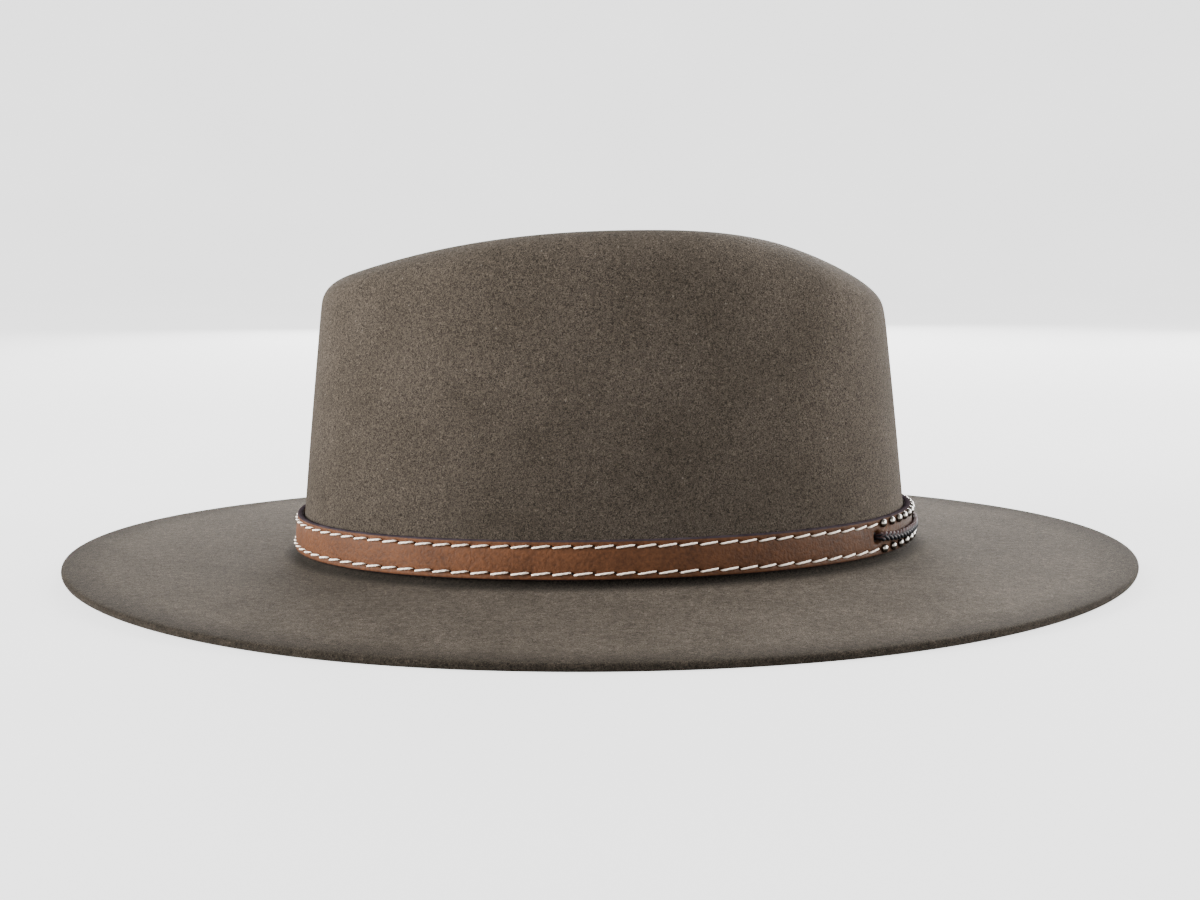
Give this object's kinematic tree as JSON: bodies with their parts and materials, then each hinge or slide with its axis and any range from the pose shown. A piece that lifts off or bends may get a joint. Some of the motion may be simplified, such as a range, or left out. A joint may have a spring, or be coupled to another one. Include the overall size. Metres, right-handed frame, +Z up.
{
  "type": "felt hat",
  "caption": "Wide-brimmed felt hat with a teardrop crown, a nearly flat raw-edged brim and a stitched leather band with domed studs and a lace at the back.",
  "frame": {"origin": "on the surface that the hat rests on, under the middle of the brim", "axes": "+X to the back of the hat, +Y to the wearer's right side, +Z up through the crown"},
  "size_m": [0.3728, 0.3246, 0.1157],
  "materials": {
    "felt": "dark taupe fur felt with a short brushed nap",
    "band_leather": "smooth brown saddle leather, half matt, with a dark painted edge",
    "lace_leather": "dark twisted leather lace",
    "stud_metal": "polished nickel",
    "thread": "thick waxed cream thread"
  },
  "bodies": {
    "root": {"felt_body": "felt", "leather_band": "band_leather", "lace": "lace_leather", "stud_upper_01": "stud_metal", "stud_upper_02": "stud_metal", "stud_upper_03": "stud_metal", "stud_upper_04": "stud_metal", "stud_upper_05": "stud_metal", "stud_upper_06": "stud_metal", "stud_upper_07": "stud_metal", "stud_upper_08": "stud_metal", "stud_upper_09": "stud_metal", "stud_upper_10": "stud_metal", "stud_upper_11": "stud_metal", "stud_upper_12": "stud_metal", "stud_upper_13": "stud_metal", "stud_upper_14": "stud_metal", "stud_upper_15": "stud_metal", "stud_upper_16": "stud_metal", "stud_upper_17": "stud_metal", "stud_upper_18": "stud_metal", "stud_lower_01": "stud_metal", "stud_lower_02": "stud_metal", "stud_lower_03": "stud_metal", "stud_lower_04": "stud_metal", "stud_lower_05": "stud_metal", "stud_lower_06": "stud_metal", "stud_lower_07": "stud_metal", "stud_lower_08": "stud_metal", "stud_lower_09": "stud_metal", "stud_lower_10": "stud_metal", "stud_lower_11": "stud_metal", "stud_lower_12": "stud_metal", "stud_lower_13": "stud_metal", "stud_lower_14": "stud_metal", "stud_lower_15": "stud_metal", "stud_lower_16": "stud_metal", "stud_lower_17": "stud_metal", "stud_lower_18": "stud_metal"}
  },
  "joints": []
}
